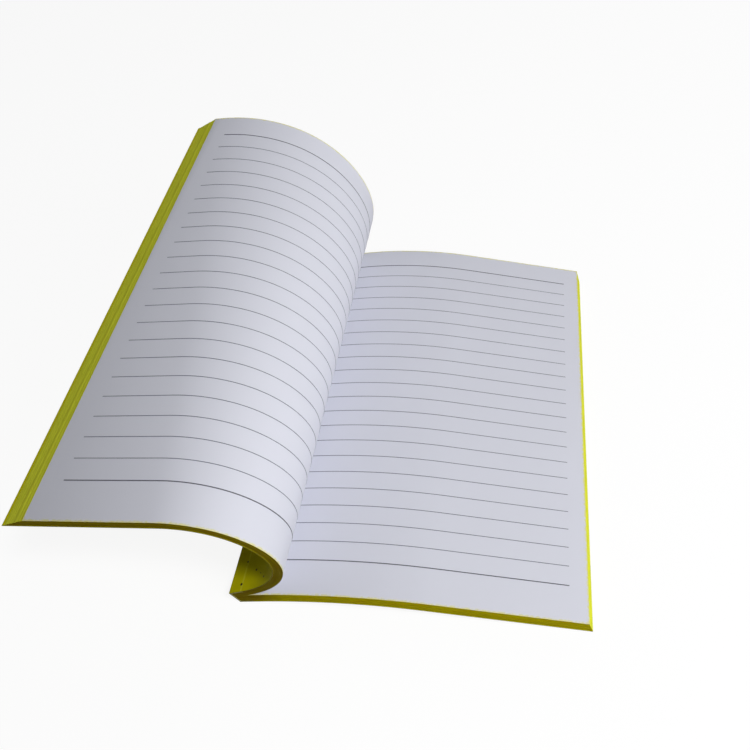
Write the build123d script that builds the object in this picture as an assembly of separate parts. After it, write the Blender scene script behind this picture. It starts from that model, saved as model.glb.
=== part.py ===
"""Soft-cover lined notebook, lying open: the right half rests on the table and the left half curls up and over.

Millimetres, +Z up. The spine runs along Y, with the tail of the book towards -Y and its head towards +Y.
Every sheet, cover and ruled line is a chain of tangent arcs drawn in the XZ plane.
The right half keeps one section from tail to head. The left half is looser at the head than at the tail: it turns
on the same short arcs at both, with flats between them that widen towards the head, and its leaves stay equally long.
"""
import os
from math import atan2, cos, degrees, radians, sin

from build123d import *

# Sheet format and thicknesses
PAGE_WIDTH = 148.0
PAGE_HEIGHT = 210.0
SPINE_WIDTH = 9.2
COVER_THICKNESS = 0.4
GLUE_THICKNESS = 0.3
LEFT_LEAVES = 3.4

# Binding: cover strips that are glued beside the spine, out to the score lines where the covers hinge
GLUED_STRIP = 6.6
FAN_ANGLE = 15.0

# Arch of the right half, spine side first
COVER_ARCH_RADIUS = 189.0
PAGE_ARCH_RADIUS = 203.0
ARCH_TURN = 21.6

# Curl of the left half: its turn in degrees, the equal steps it is drawn in, and how tightly it curls at even
# stages of the turn from the gutter, as a radius over the leaf's width. Each step is an arc between two short flats.
# They take a small share of the step at the tail, and all that the step is longer at the head.
CURL_TURN = 157.2
CURL_STEPS = 11
TAIL_RADII = (0.378, 0.245, 0.184, 0.208, 0.221, 0.315)
HEAD_RADII = (0.424, 0.267, 0.215, 0.353, 0.402, 0.650)
TAIL_FLAT_SHARE = 0.04

# Ruling
LINE_COUNT = 22
TAIL_MARGIN = 15.4
HEAD_MARGIN = 12.7
FORE_EDGE_MARGIN = 8.8
GUTTER_MARGIN = 9.0
LINE_WIDTH = 0.28
BORDER_LINE_WIDTH = 0.5
INK_HEIGHT = 0.08

# The least share of a run that a line's end is drawn over, and the least turn, in degrees, that is drawn as an arc
LEAST_SHARE = 0.02
LEAST_TURN = 1e-9

# Values that follow from the ones above
TAIL_Y = -PAGE_HEIGHT / 2
HEAD_Y = PAGE_HEIGHT / 2
LINER = COVER_THICKNESS + GLUE_THICKNESS
LEFT_THICKNESS = LEFT_LEAVES + LINER
LEFT_LEAF = PAGE_WIDTH - GLUED_STRIP
LINE_PITCH = (PAGE_HEIGHT - TAIL_MARGIN - HEAD_MARGIN) / (LINE_COUNT - 1)


def ahead(point, heading, distance):
    """The point at a distance from another, in a heading given in degrees from +X towards +Z."""
    angle = radians(heading)
    return (point[0] + distance * cos(angle), point[1] + distance * sin(angle))


def beside(point, heading, distance):
    """The point at a distance to the left of a heading."""
    return ahead(point, heading + 90, distance)


def meet(point_a, heading_a, point_b, heading_b):
    """Where two lines cross, each given by a point and a heading."""
    ax, az = cos(radians(heading_a)), sin(radians(heading_a))
    bx, bz = cos(radians(heading_b)), sin(radians(heading_b))
    dx, dz = point_b[0] - point_a[0], point_b[1] - point_a[1]
    reach = (dx * bz - dz * bx) / (ax * bz - az * bx)
    return ahead(point_a, heading_a, reach)


def along(point, heading, length, turn):
    """The end of an arc of a given length that starts in a heading and turns left by an angle in degrees."""
    if abs(turn) < LEAST_TURN:
        return ahead(point, heading, length)
    radius = length / radians(turn)
    centre = beside(point, heading, radius)
    return beside(centre, heading + turn, -radius)


def stations(start, heading, runs):
    """Point, heading, length and turn of each run of a chain of tangent arcs, and its end."""
    chain = []
    point = start
    for length, turn in runs:
        chain.append((point, heading, length, turn))
        point = along(point, heading, length, turn)
        heading += turn
    return chain, point, heading


def spot(point, y):
    """A point of a section, set at its place along the spine."""
    return Vector(point[0], y, point[1])


def chain_edges(start, heading, runs, offset, y):
    """Edges of a chain of arcs and straights that is moved to its left by an offset, and its end."""
    chain, end, end_heading = stations(start, heading, runs)
    edges = []
    for point, direction, length, turn in chain:
        first = beside(point, direction, offset)
        half = beside(along(point, direction, length / 2, turn / 2), direction + turn / 2, offset)
        last = beside(along(point, direction, length, turn), direction + turn, offset)
        if abs(turn) < LEAST_TURN:
            edges.append(Edge.make_line(spot(first, y), spot(last, y)))
        else:
            edges.append(Edge.make_three_point_arc(spot(first, y), spot(half, y), spot(last, y)))
    return edges, beside(end, end_heading, offset)


def close_up(first_edges, first_tip, second_edges, second_tip, y):
    """Edges of a closed outline from two chains that start side by side, joined by straight ends."""
    start_a = first_edges[0] @ 0
    start_b = second_edges[0] @ 0
    end_face = Edge.make_line(spot(first_tip, y), spot(second_tip, y))
    start_face = Edge.make_line(start_b, start_a)
    return first_edges + [end_face] + second_edges[::-1] + [start_face]


def side_between(tail_edge, head_edge):
    """The side face between an edge of a tail section and its match in the head section: a line of the same
    heading, or the same arc moved along."""
    if tail_edge.geom_type == GeomType.LINE:
        return Face(Wire.make_polygon([tail_edge @ 0, tail_edge @ 1, head_edge @ 1, head_edge @ 0]))
    return Face.extrude(tail_edge, (head_edge @ 0) - (tail_edge @ 0))


def ruled_solid(tail_edges, head_edges):
    """The solid between two closed sections whose edges match."""
    faces = [side_between(tail_edge, head_edge) for tail_edge, head_edge in zip(tail_edges, head_edges)]
    return Solid(Shell(faces + [Face(Wire(tail_edges)), Face(Wire(head_edges))]))


def extruded(edges):
    """A section at the tail, extruded to the head."""
    return extrude(Face(Wire(edges)), amount=PAGE_HEIGHT, dir=(0, 1, 0))


# The right half's headings: the chord of the back cover lies level on the table
flat_runs = [
    (GLUED_STRIP, 0.0),
    (COVER_ARCH_RADIUS * radians(ARCH_TURN), -ARCH_TURN),
    (PAGE_WIDTH - GLUED_STRIP - COVER_ARCH_RADIUS * radians(ARCH_TURN), 0.0),
]
corner = stations((0.0, 0.0), 0.0, flat_runs)[1]
LEAN = -degrees(atan2(corner[1], corner[0]))
LEFT_HEADING = LEAN + FAN_ANGLE

# Corners of the spine, the two score lines and the gutter, in the XZ plane
BACK_CORNER = (0.0, 0.0)
FRONT_CORNER = beside(BACK_CORNER, LEAN, SPINE_WIDTH)
BACK_SCORE = ahead(BACK_CORNER, LEAN, GLUED_STRIP)
FRONT_SCORE = ahead(FRONT_CORNER, LEFT_HEADING, GLUED_STRIP)
GUTTER = beside(FRONT_SCORE, LEFT_HEADING, -LEFT_THICKNESS)
GUTTER_REACH = GUTTER[0] * cos(radians(LEAN)) + GUTTER[1] * sin(radians(LEAN))
RIGHT_LEAF = PAGE_WIDTH - GUTTER_REACH


def back_runs():
    """Runs of the back cover beyond its score line."""
    return flat_runs[1:]


def right_page_runs():
    """Runs of the right page's surface, from the gutter to the fore-edge."""
    arch = PAGE_ARCH_RADIUS * radians(ARCH_TURN)
    return [(arch, -ARCH_TURN), (RIGHT_LEAF - arch, 0.0)]


def between_stages(radii, place):
    """The radius at a place in the turn, from 0 to 1, between the stages that are given."""
    stage = place * (len(radii) - 1)
    before = int(stage)
    return radii[before] + (radii[before + 1] - radii[before]) * (stage - before)


def left_page_runs(y, prolonged=0.0):
    """Runs of the left page's surface at a place along the spine; the last flat runs out to the fore-edge."""
    toward_head = (y - TAIL_Y) / PAGE_HEIGHT
    turn = CURL_TURN / CURL_STEPS
    runs = []
    half_flat = 0.0
    for index in range(CURL_STEPS):
        place = (index + 0.5) / CURL_STEPS
        at_tail = LEFT_LEAF * radians(turn) * between_stages(TAIL_RADII, place)
        at_head = LEFT_LEAF * radians(turn) * between_stages(HEAD_RADII, place)
        arc = at_tail * (1 - TAIL_FLAT_SHARE)
        before = half_flat
        half_flat = (at_tail - arc + (at_head - at_tail) * toward_head) / 2
        runs += [(before + half_flat, 0.0), (arc, turn)]
    curled = sum(length for length, _ in runs)
    return runs + [(LEFT_LEAF - curled + prolonged, 0.0)]


def root_corners(inset):
    """Corners of the binding at a depth under the cover: front score, front, back, back score."""
    spine_point = ahead(BACK_CORNER, LEAN, inset)
    front_point = beside(FRONT_CORNER, LEFT_HEADING, -inset)
    back_point = beside(BACK_CORNER, LEAN, inset)
    return [
        beside(FRONT_SCORE, LEFT_HEADING, -inset),
        meet(spine_point, LEAN + 90, front_point, LEFT_HEADING),
        meet(spine_point, LEAN + 90, back_point, LEAN),
        beside(BACK_SCORE, LEAN, inset),
    ]


def channel(outer_inset, inner_inset):
    """A bent strip round the spine, between two depths under the cover's surface."""
    outline = root_corners(outer_inset) + root_corners(inner_inset)[::-1]
    return extruded(Wire.make_polygon([spot(point, TAIL_Y) for point in outline]).edges())


def page_block():
    """All the leaves as one block: the right half, the bound root and the curled left half."""
    root = root_corners(LINER)
    front_root, front_inner, back_inner, back_root = root
    lower, lower_tip = chain_edges(BACK_SCORE, LEAN, back_runs(), LINER, TAIL_Y)
    upper, upper_tip = chain_edges(GUTTER, LEAN, right_page_runs(), 0.0, TAIL_Y)
    outline = [Edge.make_line(spot(front_root, TAIL_Y), spot(front_inner, TAIL_Y))]
    outline.append(Edge.make_line(spot(front_inner, TAIL_Y), spot(back_inner, TAIL_Y)))
    outline.append(Edge.make_line(spot(back_inner, TAIL_Y), spot(back_root, TAIL_Y)))
    outline += lower
    outline.append(Edge.make_line(spot(lower_tip, TAIL_Y), spot(upper_tip, TAIL_Y)))
    outline += upper[::-1]
    outline.append(Edge.make_line(spot(GUTTER, TAIL_Y), spot(front_root, TAIL_Y)))
    right = extruded(outline)
    return right + curled_layer(0.0, LEFT_LEAVES)


def curled_layer(outer, inner):
    """A layer of the left half between two depths under the page, ruled from the tail to the head.

    Each leaf is as wide as the page, so a deeper one, on tighter arcs, reaches further out at the fore-edge.
    """
    turned = radians(CURL_TURN)
    sections = []
    for y in (TAIL_Y, HEAD_Y):
        first, first_tip = chain_edges(GUTTER, LEFT_HEADING, left_page_runs(y, outer * turned), outer, y)
        second, second_tip = chain_edges(GUTTER, LEFT_HEADING, left_page_runs(y, inner * turned), inner, y)
        sections.append(close_up(first, first_tip, second, second_tip, y))
    return ruled_solid(*sections)


def kept_shares(runs, first, last):
    """Which runs a stretch between two distances covers, and from what share of each to what share."""
    kept = []
    done = 0.0
    for index, (length, _) in enumerate(runs):
        begin = max((first - done) / length, 0.0)
        end = min((last - done) / length, 1.0)
        if end - begin > LEAST_SHARE:
            kept.append((index, begin, end))
        done += length
    return kept


def trimmed(start, heading, runs, kept):
    """The kept stretch of a chain: its point, heading and runs."""
    chain = stations(start, heading, runs)[0]
    index, begin, _ = kept[0]
    point, direction, length, turn = chain[index]
    kept_runs = [(runs[index][0] * (end - begin), runs[index][1] * (end - begin)) for index, begin, end in kept]
    return along(point, direction, length * begin, turn * begin), direction + turn * begin, kept_runs


def line_edges():
    """Both edges of each ruled line along the spine, from the tail to the head."""
    places = []
    for row in range(LINE_COUNT):
        middle = TAIL_Y + TAIL_MARGIN + row * LINE_PITCH
        width = BORDER_LINE_WIDTH if row in (0, LINE_COUNT - 1) else LINE_WIDTH
        places.append((middle - width / 2, middle + width / 2))
    return places


def ink_section(heading, runs, kept, side, y):
    """The section of a printed line: a thin skin on a page, on the given side of its chain of arcs."""
    stretch = trimmed(GUTTER, heading, runs, kept)
    page_side, page_tip = chain_edges(*stretch, 0.0, y)
    ink_side, ink_tip = chain_edges(*stretch, side * INK_HEIGHT, y)
    return close_up(page_side, page_tip, ink_side, ink_tip, y)


def ruled_lines_right():
    """Printed lines on the right page, each a thin raised strip that follows the page's arch."""
    runs = right_page_runs()
    kept = kept_shares(runs, GUTTER_MARGIN, RIGHT_LEAF - FORE_EDGE_MARGIN)
    strips = []
    for near, far in line_edges():
        section = ink_section(LEAN, runs, kept, 1, near)
        strips.append(extrude(Face(Wire(section)), amount=far - near, dir=(0, 1, 0)))
    return strips


def ruled_lines_left():
    """Printed lines on the left page, each a thin raised strip that follows the curl at its own place."""
    strips = []
    for edges in line_edges():
        kept = kept_shares(left_page_runs(sum(edges) / 2), GUTTER_MARGIN, LEFT_LEAF - FORE_EDGE_MARGIN)
        sections = [ink_section(LEFT_HEADING, left_page_runs(y), kept, -1, y) for y in edges]
        strips.append(ruled_solid(*sections))
    return strips


def back_cover():
    """The back cover beyond its score line, arched under the right half."""
    outer, outer_tip = chain_edges(BACK_SCORE, LEAN, back_runs(), 0.0, TAIL_Y)
    inner, inner_tip = chain_edges(BACK_SCORE, LEAN, back_runs(), COVER_THICKNESS, TAIL_Y)
    return extruded(close_up(outer, outer_tip, inner, inner_tip, TAIL_Y))


def front_cover():
    """The front cover beyond its score line, curled along inside the left half."""
    return curled_layer(LEFT_THICKNESS - COVER_THICKNESS, LEFT_THICKNESS)


def group(pieces):
    """Solids that share one node."""
    return Compound([solid for piece in pieces for solid in piece.solids()])


NODES = {
    "page_block": group([page_block()]),
    "binding_glue": group([channel(COVER_THICKNESS, LINER)]),
    "cover_spine": group([channel(0.0, COVER_THICKNESS)]),
    "front_cover": group([front_cover()]),
    "back_cover": group([back_cover()]),
    "ruled_lines": group(ruled_lines_left() + ruled_lines_right()),
}

# The origin is under the middle of the whole notebook, on the table
whole = Compound(list(NODES.values())).bounding_box()
TO_ORIGIN = Pos(-whole.center().X, -whole.center().Y, -whole.min.Z)

os.makedirs("parts", exist_ok=True)
for name, shape in NODES.items():
    export_step(TO_ORIGIN * shape, f"parts/{name}.step")

for label, point in (
    ("back corner of the spine", BACK_CORNER),
    ("front corner of the spine", FRONT_CORNER),
    ("back score line", BACK_SCORE),
    ("front score line", FRONT_SCORE),
    ("gutter", GUTTER),
):
    placed = TO_ORIGIN.position + Vector(point[0], 0, point[1])
    print(f"{label}: x {placed.X:.4f} z {placed.Z:.4f}")
print(f"lean of the right half at the spine: {LEAN:.4f} degrees")
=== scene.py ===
"""Looks of the open notebook: its leaves, ruling, lime cover and stained edges, with floor, light and camera.

Sections are drawn in millimetres in the XZ plane, from the spine's back corner. The meshes are in metres.
"""
import math
import random

import bpy
from mathutils import Matrix, Vector


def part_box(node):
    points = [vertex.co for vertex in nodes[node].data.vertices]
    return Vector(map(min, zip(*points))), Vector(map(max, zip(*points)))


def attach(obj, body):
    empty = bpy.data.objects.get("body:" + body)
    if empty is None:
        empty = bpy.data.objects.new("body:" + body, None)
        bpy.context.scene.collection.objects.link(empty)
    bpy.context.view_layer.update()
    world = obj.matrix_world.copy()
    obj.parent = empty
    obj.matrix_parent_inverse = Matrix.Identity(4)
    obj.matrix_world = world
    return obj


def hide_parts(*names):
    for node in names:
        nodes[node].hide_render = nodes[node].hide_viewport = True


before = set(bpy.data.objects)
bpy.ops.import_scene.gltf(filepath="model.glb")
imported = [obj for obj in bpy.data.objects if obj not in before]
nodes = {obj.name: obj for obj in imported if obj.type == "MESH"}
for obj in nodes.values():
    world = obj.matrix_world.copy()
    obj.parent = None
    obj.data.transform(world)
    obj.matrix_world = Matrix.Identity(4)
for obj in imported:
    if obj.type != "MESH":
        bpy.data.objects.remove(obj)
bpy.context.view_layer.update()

# Sheet format, thicknesses and binding, as in the solids, in millimetres
PAGE_WIDTH = 148.0
PAGE_HEIGHT = 210.0
SPINE_WIDTH = 9.2
CARD = 0.4
LINER = 0.7
LEFT_LEAVES = 3.4
GLUED_STRIP = 6.6
FAN_ANGLE = 15.0
BACK_RADIUS = 189.0
RIGHT_PAGE_RADIUS = 203.0
ARCH_TURN = 21.6
ARCH_STEPS = 24

# Curl of the left half: radii over the leaf's width, at even stages of the turn
CURL_TURN = 157.2
CURL_STEPS = 110
TAIL_RADII = (0.378, 0.245, 0.184, 0.208, 0.221, 0.315)
HEAD_RADII = (0.424, 0.267, 0.215, 0.353, 0.402, 0.650)

# Ruling, in millimetres
LINE_COUNT = 22
TAIL_MARGIN = 15.4
HEAD_MARGIN = 12.7
FORE_EDGE_MARGIN = 8.8
GUTTER_MARGIN = 9.0
LINE_WIDTH = 0.28
BORDER_LINE_WIDTH = 0.42
INK_HEIGHT = 0.06
LINE_STEPS = 90

# Visible layers of the block's cut edges, how far at most each falls short of the first, in millimetres,
# and the seeds of these amounts
LEFT_LAYERS = 17
RIGHT_LAYERS = 35
UNEVEN = 0.22
LEFT_SEED = 3
RIGHT_SEED = 5

# How far the right page falls short of the leaves under it at the fore-edge, in millimetres
RIGHT_SLANT = 0.8

# Gap between the leaves and the covers beyond the binding, in millimetres
SLIP = 0.04

# Camera, in the part's frame: metres, degrees, and pixels of the 750 pixel frame
CAMERA_PLACE = Vector((0.0568, -0.1966, 0.2606))
CAMERA_AZIMUTH = 4.57
CAMERA_ELEVATION = 55.9
CAMERA_ROLL = 0.39
FOCAL_PIXELS = 647.3
FRAME_PIXELS = 750.0
AXIS_PIXEL = (450.0, 450.0)
SENSOR_WIDTH = 36.0
CLIP_START = 0.01
CLIP_END = 20.0

# Colours, sRGB
PAPER = (0.86, 0.865, 0.905)
PAPER_RIM = (0.88, 0.86, 0.58)
# The ends and the fore-edges carry one stain; the fore-edges' paler copy of it is painted light for their
# up-facing side
END_STAIN = (0.69, 0.645, 0.0)
FORE_EDGE_LIT_STAIN = (0.88, 0.90, 0.24)
# Painted shade: a darker tint of the stain on the left half's ends by the spine, which tilt away from the
# light
PAINTED_SHADE_BY_SPINE = (0.73, 0.69, 1.0)
COVER = (0.84, 0.81, 0.0)
# Painted highlight along the cover's score lines
CREASE_HIGHLIGHT = (0.93, 0.92, 0.32)
GLUE = (0.66, 0.63, 0.18)
INK = (0.42, 0.43, 0.48)
INK_BORDER = (0.36, 0.36, 0.40)
SPECK = (0.04, 0.04, 0.02)
NO_TINT = (1.0, 1.0, 1.0)
FLOOR = (0.7, 0.7, 0.7)

# Second tones of the surfaces, as shares of the red, green and blue of the first
PAPER_CLOUD_TONE = (0.98, 0.98, 0.98)
STREAK_TONE = (0.88, 0.88, 0.88)
PALE_BLOTCH_TONE = (1.06, 1.09, 1.0)
WARM_PATCH_TONE = (1.0, 0.9, 1.0)
CARD_CLOUD_TONE = (0.88, 0.88, 0.88)
GLUE_LUMP_TONE = (0.8, 0.8, 0.8)
BROKEN_INK_TONE = (1.25, 1.25, 1.25)

# Painted shade on the card's own cut edge, as shares of the stain on the ends
CUT_CARD_PAINTED_SHADE = (0.6, 0.6, 0.6)

# Where along X the painted shade on the stained ends begins, how much further along it does so per metre of
# height, how far the stain creeps onto a page, and how far the painted highlight reaches beside a score line,
# in metres
PAINTED_SHADE_SPREAD = (-0.036, -0.022)
PAINTED_SHADE_LEAN = 0.7
RIM_WIDTH = 0.0009
CREASE_REACH = 0.0007

# Specks of dirt on the cover by the spine: place and radius, in millimetres
SPECKS = (
    (-35.2, -92.0, 12.0, 0.5),
    (-29.5, -96.7, 15.9, 0.6),
    (-24.3, -101.3, 20.9, 0.6),
    (-35.4, -101.9, 11.9, 0.8),
    (-26.6, -98.9, 18.4, 0.35),
)

# Light: soft boxes with their place and size in metres and their power in watts, an even sky, and a floor
# of a given reach that glows a little where it is seen
LAMPS = (
    ("main", (0.497, -0.334, 0.973), 0.2, 6.5),
    ("low", (0.648, -0.362, 0.378), 0.5, 2.7),
    ("back", (0.428, 0.706, 0.42), 0.6, 1.0),
)
LAMP_AIM = (0.02, 0.0, 0.04)
SKY_COLOUR = (1.0, 1.0, 1.0, 1.0)
SKY_STRENGTH = 0.05
FLOOR_REACH = 3.0
FLOOR_GLOW = 1.2
FLOOR_GLOW_SHARE = 0.75

# Slots of the leaves' materials on the broad sides, the long edges and the two ends
LEAF_SLOTS = (0, 1, 2)

# Edges sharper than this stay hard, in degrees, and a face this square to Y is a cut edge of the card
HARD_EDGE = 30.0
CUT_EDGE = 0.7

# Grain of the surfaces: cells per metre, where three numbers stand along the leaf, across it and unused
PAPER_FIBRES = 2600.0
PAPER_CLOUDS = 35.0
RIM_GRAIN = 700.0
STREAKS = (90.0, 4200.0, 1.0)
BLOTCHES = (110.0, 500.0, 1.0)
WARM_PATCHES = (91.0, 390.0, 1.0)
CARD_CLOUDS = 60.0
CARD_GRAIN = 1800.0
GLUE_LUMPS = 400.0
INK_GRAIN = 1500.0

# Part of the noise's range, from 0 to 1, over which a surface changes its roughness
NOISE_SPAN = (0.3, 0.7)

# Strength and depth of the bumps, the depth in metres
PAPER_RELIEF = (0.1, 0.0001)
STREAK_RELIEF = (0.35, 0.0001)
CARD_RELIEF = (0.08, 0.0001)
GLUE_RELIEF = (0.2, 0.0002)

# Roughness, from the smoothest place to the roughest
PAPER_ROUGHNESS = (0.62, 0.74)
STAIN_ROUGHNESS = (0.65, 0.85)
CARD_ROUGHNESS = (0.5, 0.62)
INK_ROUGHNESS = (0.6, 0.75)
GLUE_ROUGHNESS = 0.4

# Specular level: paper, stained edges and card, glue, ink
PAPER_GLOSS = 0.25
CARD_GLOSS = 0.04
GLUE_GLOSS = 0.4
INK_GLOSS = 0.2

# Unevenness of the stain: on the ends of the leaves and on their fore-edges
END_UNEVENNESS = 0.6
FORE_EDGE_UNEVENNESS = 0.2

# Values that follow
MM = 0.001
TAIL_Y = -PAGE_HEIGHT / 2
HEAD_Y = PAGE_HEIGHT / 2
LEFT_LEAF = PAGE_WIDTH - GLUED_STRIP
LEFT_THICKNESS = LEFT_LEAVES + LINER
LINE_PITCH = (PAGE_HEIGHT - TAIL_MARGIN - HEAD_MARGIN) / (LINE_COUNT - 1)


def ahead(point, heading, distance):
    """The point at a distance from another, in a heading given in degrees from +X towards +Z."""
    angle = math.radians(heading)
    return Vector((point[0] + distance * math.cos(angle), point[1] + distance * math.sin(angle)))


def beside(point, heading, distance):
    """The point at a distance to the left of a heading."""
    return ahead(point, heading + 90, distance)


def meet(point_a, heading_a, point_b, heading_b):
    """Where two lines cross, each given by a point and a heading."""
    a = ahead((0, 0), heading_a, 1)
    b = ahead((0, 0), heading_b, 1)
    apart = Vector(point_b) - Vector(point_a)
    return Vector(point_a) + a * (apart.cross(b) / a.cross(b))


def along(point, heading, length, turn):
    """The end of an arc of a given length that starts in a heading and turns left by an angle in degrees."""
    if turn == 0:
        return ahead(point, heading, length)
    radius = length / math.radians(turn)
    return beside(beside(point, heading, radius), heading + turn, -radius)


# Headings and corners of the binding: the chord of the back cover lies level on the table
back_arch = BACK_RADIUS * math.radians(ARCH_TURN)
arch_end = along(ahead((0, 0), 0, GLUED_STRIP), 0, back_arch, -ARCH_TURN)
back_tip = ahead(arch_end, -ARCH_TURN, PAGE_WIDTH - GLUED_STRIP - back_arch)
LEAN = -math.degrees(math.atan2(back_tip[1], back_tip[0]))
LEFT_HEADING = LEAN + FAN_ANGLE
BACK_CORNER = Vector((0, 0))
FRONT_CORNER = beside(BACK_CORNER, LEAN, SPINE_WIDTH)
BACK_SCORE = ahead(BACK_CORNER, LEAN, GLUED_STRIP)
FRONT_SCORE = ahead(FRONT_CORNER, LEFT_HEADING, GLUED_STRIP)
GUTTER = beside(FRONT_SCORE, LEFT_HEADING, -LEFT_THICKNESS)
GUTTER_REACH = GUTTER.dot(ahead((0, 0), LEAN, 1))
RIGHT_LEAF = PAGE_WIDTH - GUTTER_REACH
ORIGIN = Vector((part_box("cover_spine")[0].x / MM - FRONT_CORNER[0], 0))


def between(radii, place):
    """The radius at a place in the turn, from 0 to 1, between the stages that are given."""
    stage = place * (len(radii) - 1)
    before = int(stage)
    return radii[before] + (radii[before + 1] - radii[before]) * (stage - before)


def curl(y):
    """Point, heading and distance from the gutter at each step of the left page's curl, and its fore-edge."""
    toward_head = (y - TAIL_Y) / PAGE_HEIGHT
    turn = CURL_TURN / CURL_STEPS
    chain = [(GUTTER, LEFT_HEADING, 0.0)]
    for index in range(CURL_STEPS):
        point, heading, distance = chain[-1]
        place = (index + 0.5) / CURL_STEPS
        tail_radius = between(TAIL_RADII, place)
        radius = tail_radius + (between(HEAD_RADII, place) - tail_radius) * toward_head
        length = LEFT_LEAF * math.radians(turn) * radius
        chain.append((along(point, heading, length, turn), heading + turn, distance + length))
    point, heading, distance = chain[-1]
    chain.append((ahead(point, heading, LEFT_LEAF - distance), heading, LEFT_LEAF))
    return chain


def arch(start, radius, length):
    """Point, heading and distance at each step of the right half's arch, and at its fore-edge."""
    step = radius * math.radians(ARCH_TURN) / ARCH_STEPS
    chain = [(Vector(start), LEAN, 0.0)]
    for _ in range(ARCH_STEPS):
        point, heading, distance = chain[-1]
        turn = -ARCH_TURN / ARCH_STEPS
        chain.append((along(point, heading, step, turn), heading + turn, distance + step))
    point, heading, distance = chain[-1]
    chain.append((ahead(point, heading, length - distance), heading, length))
    return chain


def at_distance(chain, distance):
    """Point and heading of a chain at a distance from its start."""
    for (point, heading, reached), (_, next_heading, next_reached) in zip(chain, chain[1:]):
        if distance <= next_reached:
            share = (distance - reached) / (next_reached - reached)
            turn = (next_heading - heading) * share
            return along(point, heading, distance - reached, turn), heading + turn
    return chain[-1][:2]


class Shape:
    """Points, faces, map coordinates and material slots of a mesh that is put together from swept parts."""

    def __init__(self):
        self.points = []
        self.faces = []
        self.maps = []
        self.slots = []

    def face(self, corners, places, slot, flipped):
        """Adds a face with its map places and its slot; a flipped one runs round the other way."""
        step = -1 if flipped else 1
        self.faces.append(corners[::step])
        self.maps += places[::step]
        self.slots.append(slot)

    def sweep(self, stations, span, layers=1, uneven=0.0, slots=(0, 0, 0), seed=1, slant=0.0):
        """Adds a closed form swept through its stations, between two places along the spine.

        A station is its distance, heading, and its page side and cover side at both places. The layers lie
        side by side from the page side to the cover side, and all but the first are cut short by uneven
        amounts. A slant cuts the last station shorter towards the page side. The slots are those of the broad
        sides, the long edges and the two ends.
        """
        chance = random.Random(seed)
        cuts = [[chance.uniform(0, uneven) if layer else 0.0 for layer in range(layers)] for _ in range(3)]
        cuts[2] = [cut + slant * (1 - layer / layers) for layer, cut in enumerate(cuts[2])]
        side = []
        for layer in range(layers):
            side += [(layer / layers, layer), ((layer + 1) / layers, layer)]
        loop = [(share, layer, 0) for share, layer in side]
        loop += [(share, layer, 1) for share, layer in side[::-1]]
        width = span[1] - span[0]
        _, heading, near, _ = stations[1]
        flipped = ahead((0, 0), heading, 1).cross(near[1] - near[0]) < 0
        first = len(self.points)
        around = len(loop)
        local = []
        for index, (distance, heading, near, far) in enumerate(stations):
            for share, layer, end in loop:
                cut = cuts[end][layer] / width
                across = 1 - cut if end else cut
                near_point = near[0].lerp(near[1], share)
                point = near_point.lerp(far[0].lerp(far[1], share), across)
                if index == len(stations) - 1:
                    point = ahead(point, heading, -cuts[2][layer])
                y = span[0] + width * across
                self.points.append(((point[0] + ORIGIN[0]) * MM, y * MM, point[1] * MM))
                depth = share * (near[1] - near[0]).length
                local.append((distance * MM, y * MM, depth * MM))
        for index in range(len(stations) - 1):
            for step in range(around):
                after = (step + 1) % around
                rows = (index * around, (index + 1) * around)
                corners = [rows[0] + step, rows[1] + step, rows[1] + after, rows[0] + after]
                broad = step in (around // 2 - 1, around - 1)
                axis = 1 if broad else 2
                places = [(local[corner][0], local[corner][axis]) for corner in corners]
                self.face([first + corner for corner in corners], places, slots[0 if broad else 1], flipped)
        for base, turned in ((0, False), ((len(stations) - 1) * around, True)):
            for step in range(around // 2 - 1):
                corners = [base + step, base + step + 1, base + around - 2 - step, base + around - 1 - step]
                corners = corners[::-1] if turned else corners
                places = [(local[corner][1], local[corner][2]) for corner in corners]
                self.face([first + corner for corner in corners], places, slots[2], flipped)

    def piece(self, name, materials, body, *replaced):
        """The mesh as an object that moves with a body and stands for CAD nodes."""
        mesh = bpy.data.meshes.new(name)
        mesh.from_pydata(self.points, [], self.faces)
        chart = mesh.uv_layers.new(name="leaf")
        for corner, place in zip(chart.data, self.maps):
            corner.uv = place
        for material in materials:
            mesh.materials.append(material)
        for polygon, slot in zip(mesh.polygons, self.slots):
            polygon.material_index = slot
            polygon.use_smooth = True
        mesh.set_sharp_from_angle(angle=math.radians(HARD_EDGE))
        mesh.validate()
        thing = bpy.data.objects.new(name, mesh)
        bpy.context.scene.collection.objects.link(thing)
        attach(thing, body)
        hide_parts(*replaced)
        return thing


def curled_stations(outer, inner):
    """Stations of a layer of the left half between two depths under the page."""
    stations = []
    turned = math.radians(CURL_TURN)
    for tail, head in zip(curl(TAIL_Y), curl(HEAD_Y)):
        sides = []
        last = tail[2] == LEFT_LEAF
        for point, heading, _ in (tail, head):
            reach = turned if last else 0.0
            across = [(beside(point, heading, depth), depth * reach) for depth in (outer, inner)]
            sides.append([ahead(corner, heading, further) for corner, further in across])
        stations.append((tail[2], tail[1], *sides))
    return stations


def arched_stations(height):
    """Stations of the right half, from its page down to a height over the back cover's outer side."""
    stations = []
    radius = BACK_RADIUS + height
    length = radius * math.radians(ARCH_TURN) + PAGE_WIDTH - GLUED_STRIP - back_arch
    lower = arch(beside(BACK_SCORE, LEAN, height), radius, length)
    for low, high in zip(lower, arch(GUTTER, RIGHT_PAGE_RADIUS, RIGHT_LEAF)):
        sides = [high[0], low[0]]
        stations.append((high[2], high[1], sides, sides))
    return stations


def binding_corners():
    """Corners of the block's root at the spine, under the cover: front and back."""
    spine_point = ahead(BACK_CORNER, LEAN, LINER)
    front_point = beside(FRONT_CORNER, LEFT_HEADING, -LINER)
    back_point = beside(BACK_CORNER, LEAN, LINER)
    return (
        meet(spine_point, LEAN + 90, front_point, LEFT_HEADING),
        meet(spine_point, LEAN + 90, back_point, LEAN),
    )


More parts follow.
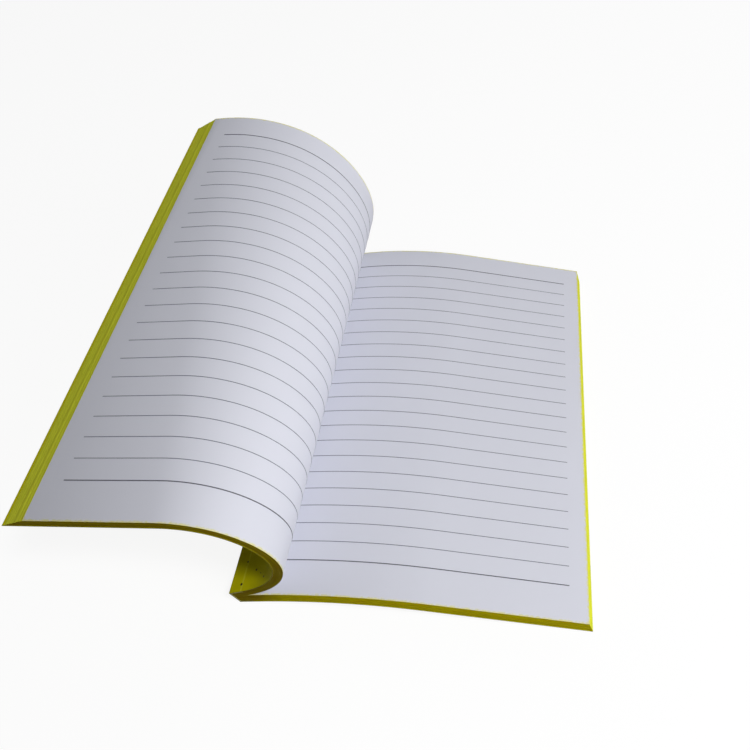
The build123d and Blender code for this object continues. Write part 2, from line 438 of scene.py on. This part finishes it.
def leaves(*materials):
    """All the leaves: a curled half and an arched half, which part at the gutter."""
    front_inner, back_inner = binding_corners()
    parting = front_inner.lerp(back_inner, LEFT_LEAVES / (back_inner - front_inner).length)
    depth = (GUTTER - parting).length
    block = Shape()
    left_root = [parting, front_inner]
    left = [(-depth - LEFT_LEAF, LEFT_HEADING, left_root, left_root)]
    curled = curled_stations(0.0, LEFT_LEAVES)[:1] + curled_stations(0.0, LEFT_THICKNESS - CARD - SLIP)[1:]
    left += [(distance - LEFT_LEAF, *rest) for distance, *rest in curled]
    block.sweep(left, (TAIL_Y, HEAD_Y), LEFT_LAYERS, UNEVEN, LEAF_SLOTS, LEFT_SEED)
    right_root = [parting, back_inner]
    arched = arched_stations(LINER)[:1] + arched_stations(CARD + SLIP)[1:]
    right = [(-depth - RIGHT_LEAF, LEAN, right_root, right_root)]
    right += [(distance - RIGHT_LEAF, *rest) for distance, *rest in arched]
    block.sweep(right, (TAIL_Y, HEAD_Y), RIGHT_LAYERS, UNEVEN, LEAF_SLOTS, RIGHT_SEED, RIGHT_SLANT)
    return block.piece("leaves", materials, "book", "page_block")


def inked(near_chain, far_chain, leaf, side):
    """Stations of a printed line between the chains at its two edges, raised on one side of them."""
    stations = []
    for step in range(LINE_STEPS + 1):
        distance = GUTTER_MARGIN + (leaf - GUTTER_MARGIN - FORE_EDGE_MARGIN) * step / LINE_STEPS
        sides = []
        for chain in (near_chain, far_chain):
            point, heading = at_distance(chain, distance)
            sides.append([beside(point, heading, side * INK_HEIGHT), point])
        stations.append((distance, heading, *sides))
    return stations


def ruling(ink, border_ink):
    """The printed lines of both pages; the first and the last are bolder."""
    lines = Shape()
    right_page = arch(GUTTER, RIGHT_PAGE_RADIUS, RIGHT_LEAF)
    for row in range(LINE_COUNT):
        border = row in (0, LINE_COUNT - 1)
        width = BORDER_LINE_WIDTH if border else LINE_WIDTH
        middle = TAIL_Y + TAIL_MARGIN + row * LINE_PITCH
        span = (middle - width / 2, middle + width / 2)
        slot = 1 if border else 0
        left = inked(curl(span[0]), curl(span[1]), LEFT_LEAF, -1)
        right = inked(right_page, right_page, RIGHT_LEAF, 1)
        for stations in (left, right):
            lines.sweep(stations, span, slots=(slot, slot, slot))
    return lines.piece("ruling", (ink, border_ink), "book", "ruled_lines")


def front_card(card):
    """The front cover beyond its score line, curled along inside the left half."""
    sheet = Shape()
    sheet.sweep(curled_stations(LEFT_THICKNESS - CARD, LEFT_THICKNESS), (TAIL_Y, HEAD_Y))
    return sheet.piece("front_card", (card,), "front_cover", "front_cover")


def linear(colour, tone=NO_TINT):
    """A colour for a shader socket, from its sRGB values, each times its share of a tone."""
    toned = [c * share for c, share in zip(colour, tone)]
    return [c / 12.92 if c <= 0.04045 else ((c + 0.055) / 1.055) ** 2.4 for c in toned] + [1.0]


class Nodes:
    """A material's node tree, with short calls for the nodes used here."""

    def __init__(self, name):
        self.material = bpy.data.materials.new(name)
        self.material.use_nodes = True
        self.tree = self.material.node_tree
        self.tree.nodes.clear()
        self.output = self.new("ShaderNodeOutputMaterial")

    def new(self, kind):
        """A new node."""
        return self.tree.nodes.new(kind)

    def set(self, socket, value):
        """Links a socket, or gives it a constant."""
        if isinstance(value, bpy.types.NodeSocket):
            self.tree.links.new(value, socket)
        else:
            socket.default_value = value

    def math(self, operation, a, b=0.0):
        """The result of an operation on one or two values."""
        node = self.new("ShaderNodeMath")
        node.operation = operation
        self.set(node.inputs[0], a)
        self.set(node.inputs[1], b)
        return node.outputs[0]

    def ramp(self, value, start, end, low=0.0, high=1.0):
        """A value mapped from start..end to low..high, smoothly and within those limits."""
        node = self.new("ShaderNodeMapRange")
        node.interpolation_type = "SMOOTHSTEP"
        for index, number in enumerate((value, start, end, low, high)):
            self.set(node.inputs[index], number)
        return node.outputs[0]

    def mix(self, factor, a, b):
        """A colour between two, by a factor from 0 to 1."""
        node = self.new("ShaderNodeMix")
        node.data_type = "RGBA"
        self.set(node.inputs[0], factor)
        self.set(node.inputs[6], a)
        self.set(node.inputs[7], b)
        return node.outputs[2]

    def tinted(self, colour, tint):
        """A colour multiplied by another."""
        node = self.new("ShaderNodeMix")
        node.data_type = "RGBA"
        node.blend_type = "MULTIPLY"
        self.set(node.inputs[0], 1.0)
        self.set(node.inputs[6], colour)
        self.set(node.inputs[7], tint)
        return node.outputs[2]

    def place(self):
        """The place on the object, in metres."""
        return self.new("ShaderNodeTexCoord").outputs["Object"]

    def chart(self):
        """The place in the mesh's own map: along the leaf and across it, in metres."""
        node = self.new("ShaderNodeUVMap")
        node.uv_map = "leaf"
        return node.outputs[0]

    def split(self, vector):
        """The three parts of a vector."""
        node = self.new("ShaderNodeSeparateXYZ")
        self.set(node.inputs[0], vector)
        return node.outputs

    def distance(self, vector, centre):
        """How far a place is from a centre."""
        node = self.new("ShaderNodeVectorMath")
        node.operation = "DISTANCE"
        self.set(node.inputs[0], vector)
        node.inputs[1].default_value = centre
        return node.outputs["Value"]

    def stretched(self, vector, scale):
        """A place with each of its parts scaled by itself."""
        node = self.new("ShaderNodeMapping")
        node.inputs["Scale"].default_value = scale
        self.set(node.inputs["Vector"], vector)
        return node.outputs[0]

    def noise(self, vector, scale, detail=3.0, roughness=0.6):
        """Smooth noise from 0 to 1 at a place."""
        node = self.new("ShaderNodeTexNoise")
        self.set(node.inputs["Vector"], vector)
        node.inputs["Scale"].default_value = scale
        node.inputs["Detail"].default_value = detail
        node.inputs["Roughness"].default_value = roughness
        return node.outputs["Fac"]

    def bump(self, height, strength, distance):
        """A normal that follows a height."""
        node = self.new("ShaderNodeBump")
        node.inputs["Strength"].default_value = strength
        node.inputs["Distance"].default_value = distance
        self.set(node.inputs["Height"], height)
        return node.outputs[0]

    def surface(self, colour, roughness, bump, specular):
        """Ends the tree with a plain shader, and returns the material."""
        shader = self.new("ShaderNodeBsdfPrincipled")
        self.set(shader.inputs["Base Color"], colour)
        self.set(shader.inputs["Roughness"], roughness)
        shader.inputs["Specular IOR Level"].default_value = specular
        if bump is not None:
            self.set(shader.inputs["Normal"], bump)
        self.set(self.output.inputs["Surface"], shader.outputs[0])
        return self.material


def paper_material():
    """Smooth white paper, with a pale rim where the stain has crept in from the cut edges."""
    tree = Nodes("paper")
    place = tree.place()
    fibres = tree.noise(place, PAPER_FIBRES, 4.0, 0.7)
    clouds = tree.noise(place, PAPER_CLOUDS, 2.0, 0.5)
    sheet = tree.mix(tree.ramp(clouds, 0.3, 0.7, 0.0, 0.3), linear(PAPER), linear(PAPER, PAPER_CLOUD_TONE))
    to_fore_edge, y, _ = tree.split(tree.chart())
    creep = tree.ramp(tree.noise(place, RIM_GRAIN, 2.0, 0.6), 0.3, 0.7, -RIM_WIDTH / 3, RIM_WIDTH / 3)
    ends = tree.math("ADD", tree.math("ABSOLUTE", y), creep)
    ends = tree.ramp(ends, HEAD_Y * MM - RIM_WIDTH, HEAD_Y * MM)
    fore_edge = tree.ramp(tree.math("ADD", to_fore_edge, creep), -RIM_WIDTH, 0.0)
    colour = tree.mix(tree.math("MAXIMUM", ends, fore_edge), sheet, linear(PAPER_RIM))
    rough = tree.ramp(fibres, *NOISE_SPAN, *PAPER_ROUGHNESS)
    return tree.surface(colour, rough, tree.bump(fibres, *PAPER_RELIEF), PAPER_GLOSS)


def stain_material(name, stain, spine_shade, unevenness):
    """Stained cut edges: streaks along the leaves, blotches, and painted shade, a darker tint on the ends by
    the spine.
    """
    tree = Nodes(name)
    chart = tree.chart()
    streaks = tree.noise(tree.stretched(chart, STREAKS), 1.0, 3.0, 0.65)
    blotches = tree.noise(tree.stretched(chart, BLOTCHES), 1.0)
    warm = tree.noise(tree.stretched(chart, WARM_PATCHES), 1.0, 2.0, 0.5)
    colour = tree.mix(tree.ramp(streaks, 0.3, 0.62), linear(stain, STREAK_TONE), linear(stain))
    pale = tree.ramp(blotches, 0.5, 0.75, 0.0, unevenness)
    colour = tree.mix(pale, colour, linear(stain, PALE_BLOTCH_TONE))
    colour = tree.mix(tree.ramp(warm, 0.5, 0.68, 0.0, unevenness), colour, linear(stain, WARM_PATCH_TONE))
    # Painted shade: the ends on the left half, by the spine, are tinted darker where they tilt away from the
    # light
    x, _, z = tree.split(tree.place())
    painted_shade_place = tree.math("SUBTRACT", x, tree.math("MULTIPLY", z, PAINTED_SHADE_LEAN))
    colour = tree.tinted(colour, tree.mix(tree.ramp(painted_shade_place, *PAINTED_SHADE_SPREAD), linear(spine_shade), linear(NO_TINT)))
    rough = tree.ramp(blotches, *NOISE_SPAN, *STAIN_ROUGHNESS)
    return tree.surface(colour, rough, tree.bump(streaks, *STREAK_RELIEF), CARD_GLOSS)


def cover_material():
    """Lime coated card, with a painted highlight along its two score lines, and a few small specks of dirt.
    """
    tree = Nodes("cover_card")
    place = tree.place()
    clouds = tree.noise(place, CARD_CLOUDS)
    grain = tree.noise(place, CARD_GRAIN)
    cloudy = tree.ramp(clouds, 0.35, 0.7, 0.0, 0.4)
    colour = tree.mix(cloudy, linear(COVER), linear(COVER, CARD_CLOUD_TONE))
    section = tree.stretched(place, (1.0, 0.0, 1.0))
    highlight_grain = tree.ramp(grain, 0.35, 0.65, 0.5, 1.0)
    # Painted highlight: paler along each score line, broken by the grain
    for score in (FRONT_SCORE, BACK_SCORE):
        centre = ((score[0] + ORIGIN[0]) * MM, 0.0, score[1] * MM)
        crease_highlight = tree.ramp(tree.distance(section, centre), CREASE_REACH, 0.0, 0.0, 0.7)
        colour = tree.mix(tree.math("MULTIPLY", crease_highlight, highlight_grain), colour, linear(CREASE_HIGHLIGHT))
    for *centre, radius in SPECKS:
        dirt = tree.ramp(tree.distance(place, [c * MM for c in centre]), radius * MM, radius * MM / 2)
        colour = tree.mix(dirt, colour, linear(SPECK))
    _, across, _ = tree.split(tree.new("ShaderNodeNewGeometry").outputs["Normal"])
    cut = tree.math("GREATER_THAN", tree.math("ABSOLUTE", across), CUT_EDGE)
    # Painted shade: the card's cut edge is a darker copy of the stain on the ends
    colour = tree.mix(cut, colour, linear(END_STAIN, CUT_CARD_PAINTED_SHADE))
    rough = tree.ramp(grain, *NOISE_SPAN, *CARD_ROUGHNESS)
    return tree.surface(colour, rough, tree.bump(grain, *CARD_RELIEF), CARD_GLOSS)


def glue_material():
    """Dried binding glue, tinted by the stain at the ends of the spine."""
    tree = Nodes("binding_glue")
    lumps = tree.noise(tree.place(), GLUE_LUMPS)
    colour = tree.mix(tree.ramp(lumps, 0.35, 0.65), linear(GLUE), linear(GLUE, GLUE_LUMP_TONE))
    return tree.surface(colour, GLUE_ROUGHNESS, tree.bump(lumps, *GLUE_RELIEF), GLUE_GLOSS)


def ink_material(name, colour):
    """Grey printed ink, slightly broken by the paper's grain."""
    tree = Nodes(name)
    grain = tree.noise(tree.place(), INK_GRAIN)
    broken = tree.ramp(grain, 0.4, 0.75, 0.0, 0.5)
    shade = tree.mix(broken, linear(colour), linear(colour, BROKEN_INK_TONE))
    return tree.surface(shade, tree.ramp(grain, *NOISE_SPAN, *INK_ROUGHNESS), None, INK_GLOSS)


def give(node, material):
    """Puts a material in every slot of a CAD node."""
    slots = nodes[node].data.materials
    for index in range(len(slots)):
        slots[index] = material
    if not slots:
        slots.append(material)


def seen(tree):
    """1 for rays that show a thing to the camera, straight, in a gloss or through a clear part, else 0."""
    rays = tree.nodes.new("ShaderNodeLightPath")
    total = rays.outputs["Is Camera Ray"]
    for kind in ("Is Glossy Ray", "Is Transmission Ray"):
        node = tree.nodes.new("ShaderNodeMath")
        node.operation = "MAXIMUM"
        tree.links.new(total, node.inputs[0])
        tree.links.new(rays.outputs[kind], node.inputs[1])
        total = node.outputs[0]
    return total


def floor():
    """A plain pale table, white to the camera, that keeps the notebook's shadow."""
    mesh = bpy.data.meshes.new("floor")
    corners = [(FLOOR_REACH * x, FLOOR_REACH * y, 0) for x, y in ((-1, -1), (1, -1), (1, 1), (-1, 1))]
    mesh.from_pydata(corners, [], [(0, 1, 2, 3)])
    table = bpy.data.objects.new("floor", mesh)
    bpy.context.scene.collection.objects.link(table)
    tree = Nodes("floor")
    lit = tree.new("ShaderNodeBsdfDiffuse")
    lit.inputs["Color"].default_value = linear(FLOOR)
    glow = tree.new("ShaderNodeEmission")
    glow.inputs["Strength"].default_value = FLOOR_GLOW
    blend = tree.new("ShaderNodeMixShader")
    tree.set(blend.inputs[0], tree.math("MULTIPLY", seen(tree.tree), FLOOR_GLOW_SHARE))
    tree.set(blend.inputs[1], lit.outputs[0])
    tree.set(blend.inputs[2], glow.outputs[0])
    tree.set(tree.output.inputs["Surface"], blend.outputs[0])
    mesh.materials.append(tree.material)


def lamp(name, place, size, watts):
    """A square soft box that shines from a place at the notebook."""
    data = bpy.data.lights.new(name, "AREA")
    data.size = size
    data.energy = watts
    light = bpy.data.objects.new(name, data)
    light.location = place
    light.visible_camera = False
    light.rotation_euler = (Vector(LAMP_AIM) - Vector(place)).to_track_quat("-Z", "Y").to_euler()
    bpy.context.scene.collection.objects.link(light)


def sky():
    """An even pale sky that the camera sees as white."""
    world = bpy.data.worlds.new("sky")
    bpy.context.scene.world = world
    world.use_nodes = True
    tree = world.node_tree
    background = tree.nodes["Background"]
    background.inputs["Color"].default_value = SKY_COLOUR
    background.inputs["Strength"].default_value = SKY_STRENGTH
    white = tree.nodes.new("ShaderNodeBackground")
    blend = tree.nodes.new("ShaderNodeMixShader")
    tree.links.new(seen(tree), blend.inputs[0])
    tree.links.new(background.outputs[0], blend.inputs[1])
    tree.links.new(white.outputs[0], blend.inputs[2])
    tree.links.new(blend.outputs[0], tree.nodes["World Output"].inputs["Surface"])
    white.inputs["Color"].default_value = (1.0, 1.0, 1.0, 1.0)
    white.inputs["Strength"].default_value = 1.0


def camera():
    """The photograph's camera. Its axis lies off the middle of the frame, which the shift makes good."""
    data = bpy.data.cameras.new("camera")
    data.sensor_width = SENSOR_WIDTH
    data.lens = FOCAL_PIXELS / FRAME_PIXELS * SENSOR_WIDTH
    data.shift_x = (FRAME_PIXELS / 2 - AXIS_PIXEL[0]) / FRAME_PIXELS
    data.shift_y = (AXIS_PIXEL[1] - FRAME_PIXELS / 2) / FRAME_PIXELS
    azimuth, elevation = math.radians(CAMERA_AZIMUTH), math.radians(CAMERA_ELEVATION)
    level_back = Vector((math.sin(azimuth), -math.cos(azimuth), 0.0))
    back = level_back * math.cos(elevation) + Vector((0.0, 0.0, math.sin(elevation)))
    level = (-back).to_track_quat("-Z", "Y").to_matrix()
    turn = level @ Matrix.Rotation(math.radians(CAMERA_ROLL), 3, "Z")
    eye = bpy.data.objects.new("camera", data)
    eye.matrix_world = Matrix.Translation(CAMERA_PLACE) @ turn.to_4x4()
    data.clip_start = CLIP_START
    data.clip_end = CLIP_END
    bpy.context.scene.collection.objects.link(eye)
    bpy.context.scene.camera = eye


card_material = cover_material()
end_stain = stain_material("stained_ends", END_STAIN, PAINTED_SHADE_BY_SPINE, END_UNEVENNESS)
# Painted light: the fore-edges take a paler copy of the stain on the ends
fore_edge_lit_stain = stain_material("stained_fore_edges_painted_light", FORE_EDGE_LIT_STAIN, NO_TINT, FORE_EDGE_UNEVENNESS)
leaves(paper_material(), end_stain, fore_edge_lit_stain)
ruling(ink_material("ruling_ink", INK), ink_material("border_ink", INK_BORDER))
front_card(card_material)
give("cover_spine", card_material)
give("back_cover", card_material)
give("binding_glue", glue_material())
floor()
sky()
for lamp_values in LAMPS:
    lamp(*lamp_values)
camera()
bpy.context.scene.view_settings.view_transform = "Standard"
